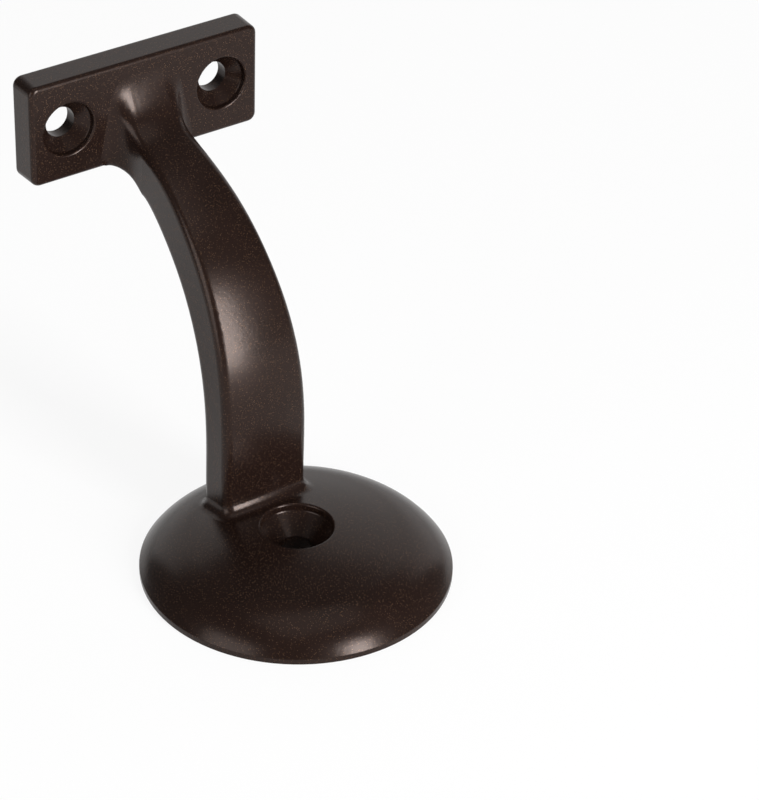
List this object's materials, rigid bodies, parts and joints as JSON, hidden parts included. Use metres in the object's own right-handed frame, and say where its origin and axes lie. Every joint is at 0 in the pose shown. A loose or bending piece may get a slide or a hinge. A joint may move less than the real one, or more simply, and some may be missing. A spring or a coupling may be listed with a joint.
{
  "type": "handrail bracket",
  "caption": "One-piece handrail bracket: a domed round wall plate with a central screw recess, a curved tapering arm and a flat rail plate with screw recesses.",
  "frame": {"origin": "centre of the wall plate's face against the wall, on the axis of the wall screw", "axes": "+Z away from the wall along the wall screw, +Y square to the rail plate towards the rail, X along the rail"},
  "size_m": [0.06, 0.0894, 0.0862],
  "materials": {
    "bronze_coat": "satin dark bronze powder coat with a fine metallic fleck"
  },
  "bodies": {
    "root": {"bracket_casting": "bronze_coat"}
  },
  "joints": []
}
